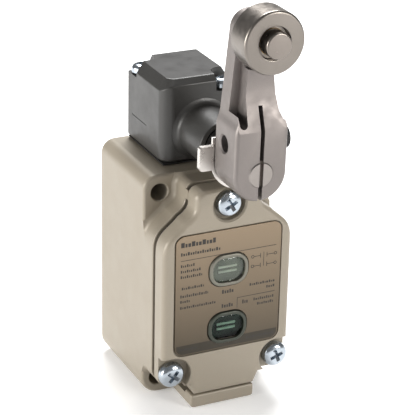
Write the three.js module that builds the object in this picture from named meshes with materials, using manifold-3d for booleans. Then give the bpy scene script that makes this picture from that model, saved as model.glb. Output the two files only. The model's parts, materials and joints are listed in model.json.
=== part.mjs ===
// Roller-lever limit switch: die-cast body and cover, square head, clamped lever with a roller.
// Millimetres, +Z up. +Y points to the mounting wall and X runs across the body.
// The origin is the centre of the flat rear face, midway between the four mounting holes.
import * as THREE from 'three';
import { mergeVertices } from 'three/addons/utils/BufferGeometryUtils.js';
import Module from 'manifold-3d';

const wasm = await Module();
wasm.setup();

// ---------------------------------------------------------------- driving dimensions
const GAP = 0.3;                 // clearance left between pieces that touch
const PAST = 1;                  // how far a cutting tool runs past the face that it opens
const FAR = 60;                  // a cutting tool's size where only one of its faces matters

const BODY_HALF_W = 20;
const BODY_HALF_H = 34.65;
const BODY_TOP_R = 4;
const BODY_FOOT_R = 5.3;
const LUG_Y = -31.5;             // front face of the four corner lugs
const RIM_Y = -39.1;             // front face of the body rim
const REAR_WALL_Y = -4.5;        // inner face of the rear wall

const HOLE_X = 15.1;             // mounting holes
const HOLE_Z = 29.35;
const HOLE_R = 2.55;

const COVER_BACK_Y = -40;
const FRONT_Y = -46;
const NECK_HALF = 10.3;
const NECK_TOP_Z = 34;
const SHOULDER_Z = 15.5;
const EAR_Z = -26.5;               // lower edge of the cover corners
const EAR_R = 3.3;
const TONGUE_HALF = 11;
const TONGUE_Z = -29.7;
const COVER_WALL = 2.2;

const NOSE_HALF = 10;            // block that runs forward below the cover's tongue
const NOSE_Y = -44.5;
const NOSE_TOP_Z = TONGUE_Z - 0.9;
const CONDUIT_R = 9.5;           // conduit entry in the underside
const CONDUIT_Y = -21;
const COLLAR_R = 12;
const COLLAR_Z = -24;
const FLOOR_Z = -31.45;          // floor of the wiring space
const CEILING_Z = 24;            // its ceiling

const TOP_SCREW_Z = 28.95;       // cover screws
const LOW_SCREW_X = 16.5;
const LOW_SCREW_Z = -22;
const COVER_SCREW_R = 1.85;
const EAR_NOTCH_R = 5.5;
const EAR_SEAT_Y = -43;
const TOP_SEAT_Y = -43.6;

const LABEL_HALF_W = 16.4;
const LABEL_TOP_Z = 21.5;
const LABEL_FOOT_Z = -15.8;
const LABEL_R = 2.6;
const WINDOW_Z = 9.05;           // windows lie this far above and below the centre
const WINDOW_HALF_W = 6.1;
const WINDOW_HALF_H = 4.9;

const HEAD_LEFT = -12.1;
const HEAD_RIGHT = 10.9;
const HEAD_FRONT_Y = -26.7;
const HEAD_REAR_Y = -1;
const HEAD_FOOT_Z = 35.6;
const HEAD_TOP_Z = 60;
const HEAD_SEAT_Z = 55.2;        // seats of the two head screws
const SCREW_INSET = 3.2;
const HEAD_SCREW_R = 1.7;
const HEAD_NOTCH_R = 3.5;
const HEAD_EDGE = 2.2;           // chamfer round the head's top
const HEAD_CORNER_R = 3.6;

const SHAFT_Z = 44.57;
const SHAFT_R = 4;
const SHAFT_END_Y = -63.9;
const BARREL_R = 7.6;            // round boss on the head's front
const BARREL_Y = -41.3;
const BUSH_R = 6;
const CAM_Y = -14.6;             // cam and plunger centre
const CAM_R = 5;
const PLUNGER_TOP_Z = SHAFT_Z - CAM_R - GAP;
const SPRING_FOOT_Z = 26.8;

const LEVER_R = 38;
const ROLLER_Z = SHAFT_Z + LEVER_R;
const HUB_BACK_Y = -51.4;
const HUB_FRONT_Y = -63.6;
const HUB_HALF = 7.8;
const ARM_HALF = 6.9;             // at the waist; the arm narrows from there to the roller
const ARM_TOP_R = 5.1;
const WEB_Y = -56.4;             // front face of the arm's thin web
const RIB_Y = -60.3;             // front face of the arm's middle rib
const RIB_HALF = 3.5;
const CREASE_Z = 57;             // the hub's front leans back above this
const WAIST_Z = 59.9;
const LEAN = Math.PI / 180;      // the free lever leans this far from upright
const SLIT_HALF = 0.6;
const BOLT_Y = -56.2;
const BOLT_Z = 51.8;
const BOLT_SEAT_X = 7;

const ROLLER_R = 8.75;
const ROLLER_FRONT_Y = -67.75;
const ROLLER_BACK_Y = -58.45;
const PIN_R = 2.5;
const PIN_HEAD_R = 3.5;

const CASE_HALF_W = 13.5;        // snap-action switch inside the body
const CASE_TOP_Z = 11.5;
const CASE_FOOT_Z = -15;
const CASE_FRONT_Y = -28;
const TERMINAL_X = 8.5;
const TERMINAL_Z = [5.5, -3.5];
const CASE_SCREW_X = 9.5;
const CASE_SCREW_Z = -11.8;
const CASE_SCREW_R = 1.4;
const EARTH_X = 8;
const EARTH_Z = -24;
const EARTH_R = 1.7;

// ---------------------------------------------------------------- finishes
const finish = (color, roughness, metalness) =>
  new THREE.MeshStandardMaterial({ color, roughness, metalness });
const beige = finish('#b3a58e', 0.45, 0.3);
const charcoal = finish('#4a4744', 0.5, 0.2);
const sintered = finish('#a8a19c', 0.4, 0.8);
const steel = finish('#9b958f', 0.3, 0.95);
const zinc = finish('#c3ccd3', 0.25, 1);
const black = finish('#161616', 0.6, 0.3);
const brass = finish('#b8975a', 0.35, 1);
const rubber = finish('#22201e', 0.9, 0);
const labelMetal = finish('#8f7c66', 0.4, 0.6);
const clear = finish('#7f8a80', 0.1, 0);
const darkGlass = finish('#16231f', 0.1, 0);
const phenolic = finish('#5b2f22', 0.6, 0);
const ivory = finish('#d9d2bf', 0.5, 0);

// ---------------------------------------------------------------- helpers
function toSolid(geometry) {
  for (const name of ['normal', 'uv']) geometry.deleteAttribute(name);
  const merged = mergeVertices(geometry, 1e-4);
  return new wasm.Manifold(new wasm.Mesh({
    numProp: 3,
    vertProperties: new Float32Array(merged.attributes.position.array),
    triVerts: new Uint32Array(merged.index.array),
  }));
}

function toGeometry(solid) {
  const mesh = solid.getMesh();
  const geometry = new THREE.BufferGeometry();
  geometry.setAttribute('position', new THREE.BufferAttribute(mesh.vertProperties, 3));
  geometry.setIndex(new THREE.BufferAttribute(mesh.triVerts, 1));
  geometry.computeVertexNormals();
  return geometry;
}

const group = new THREE.Group();
group.name = 'limit_switch';

function addPiece(name, shape, material) {
  const geometry = shape.isBufferGeometry ? shape : toGeometry(shape);
  const mesh = new THREE.Mesh(geometry, material);
  mesh.name = name;
  group.add(mesh);
  return mesh;
}

// Turns a piece made along +Z to point to the front, with its own origin at the given place.
function facingFront(mesh, x, y, z) {
  mesh.rotation.x = Math.PI / 2;
  mesh.position.set(x, y, z);
}

// A box between two places on each axis, in either order.
function block(x0, x1, y0, y1, z0, z1) {
  const box = new THREE.BoxGeometry(Math.abs(x1 - x0), Math.abs(y1 - y0), Math.abs(z1 - z0));
  box.translate((x0 + x1) / 2, (y0 + y1) / 2, (z0 + z1) / 2);
  return toSolid(box);
}

// A round bar along X, Y or Z between two places on that axis; the other two give its centre.
function bar(axis, radius, from, to, centre, sides = 24) {
  const cylinder = new THREE.CylinderGeometry(radius, radius, to - from, sides);
  const middle = (from + to) / 2;
  if (axis === 'x') cylinder.rotateZ(Math.PI / 2).translate(middle, centre[0], centre[1]);
  if (axis === 'y') cylinder.translate(centre[0], middle, centre[1]);
  if (axis === 'z') cylinder.rotateX(Math.PI / 2).translate(centre[0], centre[1], middle);
  return toSolid(cylinder);
}

// An outline drawn in X and Z, made solid from Y = back towards the front.
function plate(shape, back, front, curveSegments = 3, bevel = 0) {
  const geometry = new THREE.ExtrudeGeometry(shape, {
    depth: back - front - bevel,
    curveSegments,
    bevelEnabled: bevel > 0,
    bevelThickness: bevel,
    bevelSize: bevel,
    bevelOffset: -bevel,
    bevelSegments: 2,
  });
  geometry.rotateX(Math.PI / 2);
  geometry.translate(0, back, 0);
  return toSolid(geometry);
}

// A turned piece: the profile is a list of [radius, height], turned about Z and then placed.
function turned(profile, sides = 16) {
  return new THREE.LatheGeometry(profile.map(([r, h]) => new THREE.Vector2(r, h)), sides)
    .rotateX(Math.PI / 2);
}

function roundedRect(x0, x1, z0, z1, footR, topR = footR) {
  const shape = new THREE.Shape();
  shape.moveTo(x0 + footR, z0);
  shape.lineTo(x1 - footR, z0);
  shape.absarc(x1 - footR, z0 + footR, footR, -Math.PI / 2, 0);
  shape.lineTo(x1, z1 - topR);
  shape.absarc(x1 - topR, z1 - topR, topR, 0, Math.PI / 2);
  shape.lineTo(x0 + topR, z1);
  shape.absarc(x0 + topR, z1 - topR, topR, Math.PI / 2, Math.PI);
  shape.lineTo(x0, z0 + footR);
  shape.absarc(x0 + footR, z0 + footR, footR, Math.PI, Math.PI * 1.5);
  return shape;
}

// The outline shared by cover and body rim: neck, S-shaped shoulders, straight sides, ears.
// inset moves every wall inwards.
function coverOutline(inset = 0, tongueZ = TONGUE_Z) {
  const neck = NECK_HALF - inset;
  const side = BODY_HALF_W - inset;
  const top = NECK_TOP_Z - inset;
  const waist = 25.2 - inset * 0.7;
  const foot = EAR_Z + inset;
  const ear = EAR_R;
  const tongue = TONGUE_HALF - inset;
  const right = new THREE.Shape();
  right.moveTo(tongue, tongueZ + inset + 3.4);
  right.lineTo(side - ear, foot);
  right.absarc(side - ear, foot + ear, ear, -Math.PI / 2, 0);
  right.lineTo(side, SHOULDER_Z);
  right.bezierCurveTo(side, SHOULDER_Z + 6, side - 4.2, waist - 3, neck + 3.2, waist);
  right.quadraticCurveTo(neck, waist + 1.8, neck, waist + 4);
  right.lineTo(neck, top - 1.2);
  right.lineTo(neck - 1.2, top);
  const half = right.getPoints(4);
  const mirrored = half.map((p) => new THREE.Vector2(-p.x, p.y)).reverse();
  const chamferX = tongue - 1.6;
  const floor = [
    new THREE.Vector2(-chamferX, tongueZ + inset),
    new THREE.Vector2(chamferX, tongueZ + inset),
  ];
  return new THREE.Shape([...half, ...mirrored, ...floor]);
}

class Helix extends THREE.Curve {
  constructor(radius, pitch, turns) {
    super();
    Object.assign(this, { radius, pitch, turns });
  }

  getPoint(t) {
    const angle = t * this.turns * Math.PI * 2;
    const height = t * this.turns * this.pitch;
    return new THREE.Vector3(this.radius * Math.cos(angle), this.radius * Math.sin(angle), height);
  }
}

// A coil of round wire along +Z from z = 0, its centre line spanning the given length.
function coil(radius, wireR, length, turns) {
  const section = new THREE.Shape().absarc(0, 0, wireR, 0, Math.PI * 2);
  return new THREE.ExtrudeGeometry(section, {
    steps: Math.round(turns * 10),
    curveSegments: 3,
    bevelEnabled: false,
    extrudePath: new Helix(radius, length / turns, turns),
  });
}

// A pan-head screw along +Z: its head's underside at z = 0 and its shank below it.
function panScrew(headR, headH, shankR, length) {
  return turned([
    [0, -length], [shankR * 0.75, -length], [shankR, -length + shankR * 0.4], [shankR, 0],
    [headR, 0], [headR, headH * 0.45], [headR * 0.78, headH * 0.88], [0, headH],
  ]);
}

// ---------------------------------------------------------------- body
const coverScrews = [
  ['cover_screw_top', 0, TOP_SCREW_Z, TOP_SEAT_Y],
  ['cover_screw_left', -LOW_SCREW_X, LOW_SCREW_Z, EAR_SEAT_Y],
  ['cover_screw_right', LOW_SCREW_X, LOW_SCREW_Z, EAR_SEAT_Y],
];
const headScrews = [
  ['head_screw_rear', HEAD_LEFT + SCREW_INSET, HEAD_REAR_Y - SCREW_INSET],
  ['head_screw_front', HEAD_RIGHT - SCREW_INSET, HEAD_FRONT_Y + SCREW_INSET],
];

// A closed outline from the corners of its right half, listed from the foot up.
function mirroredOutline(corners) {
  const right = corners.map(([x, z]) => new THREE.Vector2(x, z));
  const left = corners.map(([x, z]) => new THREE.Vector2(-x, z)).reverse();
  return new THREE.Shape([...right, ...left]);
}

function makeBody() {
  const outline = roundedRect(-BODY_HALF_W, BODY_HALF_W, -BODY_HALF_H, BODY_HALF_H,
    BODY_FOOT_R, BODY_TOP_R);
  const cavity = mirroredOutline([
    [11.6, FLOOR_Z], [11.6, -17.4], [17.2, -15.4], [17.2, 13], [14.4, 18.6], [7.4, CEILING_Z],
  ]);
  let body = plate(outline, 0, LUG_Y)
    .add(plate(coverOutline(), LUG_Y + PAST, RIM_Y))
    .add(block(-NOSE_HALF, NOSE_HALF, RIM_Y, LUG_Y + PAST, -BODY_HALF_H, TONGUE_Z + PAST))
    .add(block(-NOSE_HALF, NOSE_HALF, NOSE_Y, RIM_Y + PAST, -BODY_HALF_H, NOSE_TOP_Z))
    .subtract(plate(cavity, REAR_WALL_Y, RIM_Y - PAST))
    .add(bar('z', COLLAR_R, FLOOR_Z - PAST, COLLAR_Z, [0, CONDUIT_Y], 32))
    .subtract(bar('z', CONDUIT_R, -BODY_HALF_H - PAST, COLLAR_Z + PAST, [0, CONDUIT_Y], 32));

  for (const x of [-HOLE_X, HOLE_X]) {
    for (const z of [-HOLE_Z, HOLE_Z]) {
      body = body.subtract(bar('y', HOLE_R, LUG_Y - PAST, PAST, [x, z], 20));
    }
  }
  const coverTapY = RIM_Y + 11;
  for (const [, x, z] of coverScrews) {
    body = body.subtract(bar('y', COVER_SCREW_R + GAP, RIM_Y - PAST, coverTapY, [x, z], 16));
  }
  const headTapZ = 26;
  for (const [, x, y] of headScrews) {
    body = body.subtract(bar('z', HEAD_SCREW_R + GAP, headTapZ, BODY_HALF_H + PAST, [x, y], 16));
  }
  const springSeatZ = SPRING_FOOT_Z - GAP;
  body = body
    .subtract(bar('z', 4.9, springSeatZ, BODY_HALF_H + PAST, [0, CAM_Y], 24))
    .subtract(bar('z', 2.4, CEILING_Z - PAST, springSeatZ + PAST, [0, CAM_Y], 16));
  const rearTapY = -1.6;
  for (const [x, z, r] of [
    [-CASE_SCREW_X, CASE_SCREW_Z, CASE_SCREW_R],
    [CASE_SCREW_X, CASE_SCREW_Z, CASE_SCREW_R],
    [EARTH_X, EARTH_Z, EARTH_R],
  ]) {
    body = body.subtract(bar('y', r + GAP, REAR_WALL_Y - PAST, rearTapY, [x, z], 16));
  }
  addPiece('switch_body', body, beige);
}

// ---------------------------------------------------------------- cover and what it carries
function windowOutline(centreZ, grow) {
  const halfW = WINDOW_HALF_W + grow;
  const halfH = WINDOW_HALF_H + grow;
  const cornerR = Math.min(halfH, 4.4 + grow) - 0.01;
  return roundedRect(-halfW, halfW, centreZ - halfH, centreZ + halfH, cornerR);
}

function makeCover() {
  const edgeR = 1.8;
  let cover = plate(coverOutline(), COVER_BACK_Y + edgeR, FRONT_Y, 3, edgeR)
    .subtract(block(-FAR, FAR, COVER_BACK_Y, 0, -FAR, FAR))
    .subtract(plate(pocketOutline(), COVER_BACK_Y + PAST, FRONT_Y + COVER_WALL));
  for (const side of [-1, 1]) {
    const x = side * LOW_SCREW_X;
    const outer = side * FAR;
    const inner = x - side * 4;
    cover = cover
      .subtract(bar('y', EAR_NOTCH_R, FRONT_Y - PAST, EAR_SEAT_Y, [x, LOW_SCREW_Z], 24))
      .subtract(block(x, outer, FRONT_Y - PAST, EAR_SEAT_Y, -FAR, LOW_SCREW_Z + EAR_NOTCH_R - 0.3))
      .subtract(block(inner, outer, FRONT_Y - PAST, EAR_SEAT_Y, -FAR, LOW_SCREW_Z - 3));
  }
  cover = cover.subtract(bar('y', 5, FRONT_Y - PAST, TOP_SEAT_Y, [0, TOP_SCREW_Z], 24));
  for (const [, x, z] of coverScrews) {
    cover = cover.subtract(bar('y', 2.3, FRONT_Y - PAST, COVER_BACK_Y + PAST, [x, z], 16));
  }
  const labelFloorY = FRONT_Y + 0.6;
  cover = cover.subtract(plate(labelOutline(GAP), labelFloorY, FRONT_Y - PAST));
  for (const z of [-WINDOW_Z, WINDOW_Z]) {
    cover = cover.subtract(plate(windowOutline(z, GAP), COVER_BACK_Y, FRONT_Y - PAST));
  }
  addPiece('cover', cover, beige);
}

// The hollow behind the cover plate, which stays clear of the screws.
function pocketOutline() {
  return mirroredOutline([
    [9, -27], [9.4, -16], [17.6, -14.6], [17.6, 14], [15.6, 18.4], [8, 22.6],
  ]);
}

function labelOutline(grow) {
  return roundedRect(-LABEL_HALF_W - grow, LABEL_HALF_W + grow, LABEL_FOOT_Z - grow,
    LABEL_TOP_Z + grow, LABEL_R);
}

function makeCoverParts() {
  const gasketY = COVER_BACK_Y + GAP;
  let gasket = plate(coverOutline(1), gasketY + 0.3, gasketY)
    .subtract(plate(pocketOutline(), gasketY + PAST, gasketY - PAST));
  for (const [, x, z] of coverScrews) {
    gasket = gasket.subtract(bar('y', 2.4, gasketY - PAST, gasketY + PAST, [x, z], 12));
  }
  addPiece('cover_gasket', gasket, rubber);

  let label = plate(labelOutline(0), FRONT_Y + GAP, FRONT_Y - 0.15);
  for (const z of [-WINDOW_Z, WINDOW_Z]) {
    label = label.subtract(plate(windowOutline(z, GAP), FRONT_Y + PAST, FRONT_Y - PAST));
  }
  addPiece('nameplate', label, labelMetal);

  const rimW = 1.3;
  const bezelBackY = FRONT_Y + COVER_WALL - GAP;
  const windows = [
    ['upper', WINDOW_Z, steel, clear],
    ['lower', -WINDOW_Z, black, darkGlass],
  ];
  for (const [name, z, rimFinish, lensFinish] of windows) {
    const bezel = plate(windowOutline(z, 0), bezelBackY, FRONT_Y - 0.7)
      .subtract(plate(windowOutline(z, -rimW), bezelBackY + PAST, FRONT_Y - 2));
    addPiece(`window_bezel_${name}`, bezel, rimFinish);
    const lens = plate(windowOutline(z, -rimW - GAP), FRONT_Y + 1.6, FRONT_Y - 0.25);
    addPiece(`window_lens_${name}`, lens, lensFinish);
  }

  for (const [name, x, z, seatY] of coverScrews) {
    facingFront(addPiece(name, panScrew(4.1, 3, COVER_SCREW_R, 14), zinc), x, seatY - GAP, z);
  }

  const holderBackY = -37;
  const wellFloorY = -38.6;
  let holder = block(-8.8, 8.8, FRONT_Y + COVER_WALL + GAP, holderBackY, -14.6, 14.6);
  for (const z of [-WINDOW_Z, WINDOW_Z]) {
    holder = holder.subtract(block(-5, 5, FRONT_Y, wellFloorY, z - 3.6, z + 3.6));
  }
  addPiece('lamp_holder', holder, ivory);
  const lamp = turned([[0, 0], [1.9, 0], [1.9, 0.7], [1.5, 0.7], [1.5, 2.4], [1.1, 3.4], [0, 3.9]]);
  facingFront(addPiece('indicator_lamp', lamp, ivory), 0, wellFloorY - GAP, WINDOW_Z);
  for (const [name, x] of [['left', -TERMINAL_X], ['right', TERMINAL_X]]) {
    facingFront(addPiece(`lamp_spring_${name}`, coil(1.5, 0.3, 3, 3.5), steel), x, -33, TERMINAL_Z[0]);
  }
}

// ---------------------------------------------------------------- head
function makeHead() {
  const plan = roundedRect(HEAD_LEFT, HEAD_RIGHT, HEAD_FRONT_Y, HEAD_REAR_Y, HEAD_CORNER_R);
  const outer = new THREE.ExtrudeGeometry(plan, {
    depth: HEAD_TOP_Z - HEAD_FOOT_Z - HEAD_EDGE,
    curveSegments: 4,
    bevelThickness: HEAD_EDGE,
    bevelSize: HEAD_EDGE,
    bevelOffset: -HEAD_EDGE,
    bevelSegments: 1,
  });
  outer.translate(0, 0, HEAD_FOOT_Z);
  const footZ = HEAD_FOOT_Z - PAST;
  const hollowTopZ = 51.5;
  const bushSeatY = HEAD_FRONT_Y - 0.2;
  let head = toSolid(outer)
    .subtract(block(-FAR, FAR, -FAR, FAR, 0, HEAD_FOOT_Z))
    .add(bar('y', BARREL_R, BARREL_Y, HEAD_FRONT_Y + PAST, [0, SHAFT_Z], 32))
    .subtract(block(-6.2, 6.2, -20.6, -7.9, footZ, hollowTopZ))
    .subtract(block(-5.2, 5.1, -25.6, -20, footZ, hollowTopZ))
    .subtract(bar('y', SHAFT_R + GAP, bushSeatY - GAP, -4.3, [0, SHAFT_Z], 24))
    .subtract(bar('y', BUSH_R, BARREL_Y - PAST, bushSeatY, [0, SHAFT_Z], 24));
  for (const [, x, y] of headScrews) {
    const outX = Math.sign(x);
    const outY = Math.sign(y - CAM_Y);
    const cut = (nearX, nearY) => block(nearX, outX * FAR, nearY, outY * FAR,
      HEAD_SEAT_Z, HEAD_TOP_Z + PAST);
    head = head
      .subtract(bar('z', HEAD_NOTCH_R, HEAD_SEAT_Z, HEAD_TOP_Z + PAST, [x, y], 20))
      .subtract(cut(x - outX * HEAD_NOTCH_R, y))
      .subtract(cut(x, y - outY * HEAD_NOTCH_R))
      .subtract(bar('z', HEAD_SCREW_R + GAP, footZ, HEAD_TOP_Z, [x, y], 16));
  }
  addPiece('head_housing', head, charcoal);

  const inset = 0.4;
  let gasket = block(HEAD_LEFT + inset, HEAD_RIGHT - inset, HEAD_FRONT_Y + inset, HEAD_REAR_Y - inset,
    BODY_HALF_H + GAP, HEAD_FOOT_Z - GAP);
  gasket = gasket.subtract(bar('z', 5.2, BODY_HALF_H, HEAD_FOOT_Z, [0, CAM_Y], 24));
  for (const [name, x, y] of headScrews) {
    gasket = gasket.subtract(bar('z', 2.1, BODY_HALF_H, HEAD_FOOT_Z, [x, y], 12));
    addPiece(name, panScrew(3, 2.6, HEAD_SCREW_R, 28), zinc).position.set(x, y, HEAD_SEAT_Z + GAP);
  }
  addPiece('head_gasket', gasket, rubber);

  const ring = (y0, y1) => bar('y', BUSH_R - GAP, y0, y1, [0, SHAFT_Z], 24)
    .subtract(bar('y', SHAFT_R + GAP, y0 - PAST, y1 + PAST, [0, SHAFT_Z], 24));
  addPiece('shaft_bush', ring(-38, bushSeatY - GAP), brass);
  addPiece('shaft_seal', ring(BARREL_Y + GAP, -38 - GAP), rubber);
  facingFront(addPiece('torsion_spring', coil(4.66, 0.28, 4.4, 4.5), steel), 0, -20.5, SHAFT_Z);
}

// ---------------------------------------------------------------- shaft, cam and plunger
function makeShaft() {
  const slotHalf = SLIT_HALF - 0.05;
  const slotDepth = 1.6;
  const shaft = bar('y', SHAFT_R, SHAFT_END_Y, -4.9, [0, SHAFT_Z], 32)
    .subtract(block(-slotHalf, slotHalf, SHAFT_END_Y - PAST, SHAFT_END_Y + slotDepth,
      SHAFT_Z - 6, SHAFT_Z + 6));
  addPiece('rotary_shaft', shaft, steel);

  const camHalf = 3.6;
  const flatZ = SHAFT_Z - SHAFT_R - 0.65;
  const cam = bar('y', CAM_R, CAM_Y - camHalf, CAM_Y + camHalf, [0, SHAFT_Z], 32)
    .subtract(bar('y', SHAFT_R + GAP, CAM_Y - FAR, CAM_Y + FAR, [0, SHAFT_Z], 24))
    .subtract(block(-8, 8, CAM_Y - FAR, CAM_Y + FAR, 0, flatZ));
  addPiece('cam', cam, steel);

  const discZ = PLUNGER_TOP_Z - 2.4;
  const stemZ = CASE_TOP_Z + 3.1;
  const plunger = turned([
    [0, stemZ], [1.6, stemZ], [2, stemZ + 0.5], [2, discZ],
    [4.3, discZ], [4.3, PLUNGER_TOP_Z - 0.5], [3.8, PLUNGER_TOP_Z], [0, PLUNGER_TOP_Z],
  ]);
  addPiece('head_plunger', plunger, steel).position.y = CAM_Y;

  const wireR = 0.4;
  const centreLength = discZ - GAP - SPRING_FOOT_Z - 2 * wireR;
  const spring = addPiece('return_spring', coil(3.6, wireR, centreLength, 4), steel);
  spring.position.set(0, CAM_Y, SPRING_FOOT_Z + wireR);
}

// ---------------------------------------------------------------- lever
// The lever seen from the front: round foot, straight hub, tapered waist and arm. Its top is
// round, or flat at topZ where that is given.
function leverOutline(grow, topZ) {
  const hub = HUB_HALF + grow;
  const arm = ARM_HALF + grow;
  const shape = new THREE.Shape();
  shape.moveTo(-hub, SHAFT_Z);
  shape.absarc(0, SHAFT_Z, hub, Math.PI, Math.PI * 2);
  if (topZ) {
    shape.lineTo(hub, topZ);
    shape.lineTo(-hub, topZ);
    return shape;
  }
  shape.lineTo(hub, CREASE_Z);
  shape.lineTo(arm, WAIST_Z);
  shape.lineTo(ARM_TOP_R, ROLLER_Z);
  shape.absarc(0, ROLLER_Z, ARM_TOP_R, 0, Math.PI);
  shape.lineTo(-arm, WAIST_Z);
  shape.lineTo(-hub, CREASE_Z);
  return shape;
}

// Everything behind the lever's front, which is upright over the hub and leans back to the rib.
function behindFront() {
  const lowZ = SHAFT_Z - FAR;
  const highZ = ROLLER_Z + FAR;
  const side = new THREE.Shape([
    [HUB_BACK_Y + PAST, lowZ], [HUB_BACK_Y + PAST, highZ], [RIB_Y, highZ],
    [RIB_Y, 66], [HUB_FRONT_Y, CREASE_Z], [HUB_FRONT_Y, lowZ],
  ].map(([y, z]) => new THREE.Vector2(y, z)));
  const geometry = new THREE.ExtrudeGeometry(side, { depth: 2 * FAR, bevelEnabled: false });
  geometry.rotateX(Math.PI / 2);
  geometry.rotateZ(Math.PI / 2);
  geometry.translate(-FAR, 0, 0);
  return toSolid(geometry);
}

// The groove beside the arm's rib: a round foot that opens out past the arm's edge.
function grooveOutline(side) {
  const footZ = 59.8;
  const footR = 1.2;
  const middle = side * (RIB_HALF + footR);
  const shape = new THREE.Shape();
  shape.moveTo(side * RIB_HALF, ROLLER_Z + FAR);
  shape.lineTo(side * RIB_HALF, footZ);
  shape.absarc(middle, footZ, footR, side < 0 ? 0 : Math.PI, side < 0 ? -Math.PI : Math.PI * 2, side < 0);
  shape.lineTo(side * 7.4, 66);
  shape.lineTo(side * FAR, 66);
  shape.lineTo(side * FAR, ROLLER_Z + FAR);
  return shape;
}

function makeLever() {
  const front = HUB_FRONT_Y - PAST;
  const back = HUB_BACK_Y + PAST;
  let lever = plate(leverOutline(0), HUB_BACK_Y, HUB_FRONT_Y, 8)
    .intersect(behindFront())
    .subtract(plate(grooveOutline(-1), WEB_Y, front))
    .subtract(plate(grooveOutline(1), WEB_Y, front));
  const rollerRoom = bar('y', ROLLER_R + 0.9, front - FAR, ROLLER_BACK_Y + GAP, [0, ROLLER_Z], 32);
  const aroundPin = bar('y', 20, RIB_Y - PAST, WEB_Y, [0, ROLLER_Z], 32)
    .subtract(bar('y', 4.4, -FAR - FAR, WEB_Y + PAST, [0, ROLLER_Z], 24))
    .subtract(block(-FAR, FAR, RIB_Y - FAR, WEB_Y + PAST, 0, ROLLER_Z - 6));
  lever = lever
    .subtract(rollerRoom)
    .subtract(aroundPin)
    .subtract(block(-SLIT_HALF, SLIT_HALF, front, back, SHAFT_Z - 12, 63.5))
    .subtract(bar('y', SHAFT_R + GAP, front, back, [0, SHAFT_Z], 32))
    .subtract(bar('x', 2.35, -FAR, FAR, [BOLT_Y, BOLT_Z], 16))
    .subtract(bar('x', 3.6, BOLT_SEAT_X - GAP, FAR, [BOLT_Y, BOLT_Z], 20))
    .subtract(bar('y', PIN_R + GAP, front, back, [0, ROLLER_Z], 20));
  addPiece('lever_arm', lever, sintered);

  const rim = 0.8;
  const tabLeft = -12.2;
  const tabBackY = HUB_BACK_Y + GAP + 1.5;
  const marker = plate(leverOutline(rim, BOLT_Z), HUB_BACK_Y + GAP + rim, HUB_BACK_Y + GAP, 4)
    .add(block(tabLeft, -HUB_HALF, HUB_BACK_Y + GAP, tabBackY, 42.3, 49.3))
    .subtract(bar('y', SHAFT_R + GAP, front, tabBackY + PAST, [0, SHAFT_Z], 24));
  addPiece('position_plate', marker, zinc);

  const bolt = addPiece('clamp_bolt', boltShape(), black);
  bolt.rotation.y = Math.PI / 2;
  bolt.position.set(BOLT_SEAT_X, BOLT_Y, BOLT_Z);
}

// Socket-head bolt along +Z, its head's underside at z = 0, with an open hexagon socket.
function boltShape() {
  const blank = toSolid(turned([
    [0, -12.6], [1.6, -12.6], [2, -12.2], [2, 0], [3.3, 0], [3.3, 3.5], [2.9, 3.9], [0, 3.9],
  ], 20));
  return blank.subtract(bar('z', 1.7, 2, 6, [0, 0], 6));
}

function makeRoller() {
  const backY = ROLLER_BACK_Y;
  const width = ROLLER_BACK_Y - ROLLER_FRONT_Y;
  const boreR = 4.1;
  const recess = 1.9;
  const edge = 0.5;
  const roller = turned([
    [boreR, 0], [ROLLER_R - edge, 0], [ROLLER_R, edge], [ROLLER_R, width - edge],
    [ROLLER_R - edge, width], [4.9, width], [4.9, width - recess],
    [boreR, width - recess], [boreR, 0],
  ], 40);
  facingFront(addPiece('roller', roller, steel), 0, backY, ROLLER_Z);

  const floorY = ROLLER_FRONT_Y + recess;
  const bush = bar('y', boreR - GAP, floorY + GAP, backY - GAP, [0, ROLLER_Z], 24)
    .subtract(bar('y', PIN_R + GAP, ROLLER_FRONT_Y, backY + PAST, [0, ROLLER_Z], 24));
  addPiece('roller_bush', bush, brass);

  const proud = 2.5;
  const shank = HUB_BACK_Y - floorY + GAP;
  const headTop = HUB_BACK_Y - ROLLER_FRONT_Y + proud;
  const pin = turned([
    [0, 0], [PIN_R - 0.4, 0], [PIN_R, 0.4], [PIN_R, shank], [PIN_HEAD_R, shank],
    [PIN_HEAD_R, headTop - 0.4], [PIN_HEAD_R - 0.4, headTop], [0, headTop],
  ], 24);
  facingFront(addPiece('roller_pin', pin, steel), 0, HUB_BACK_Y, ROLLER_Z);
}

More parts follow.
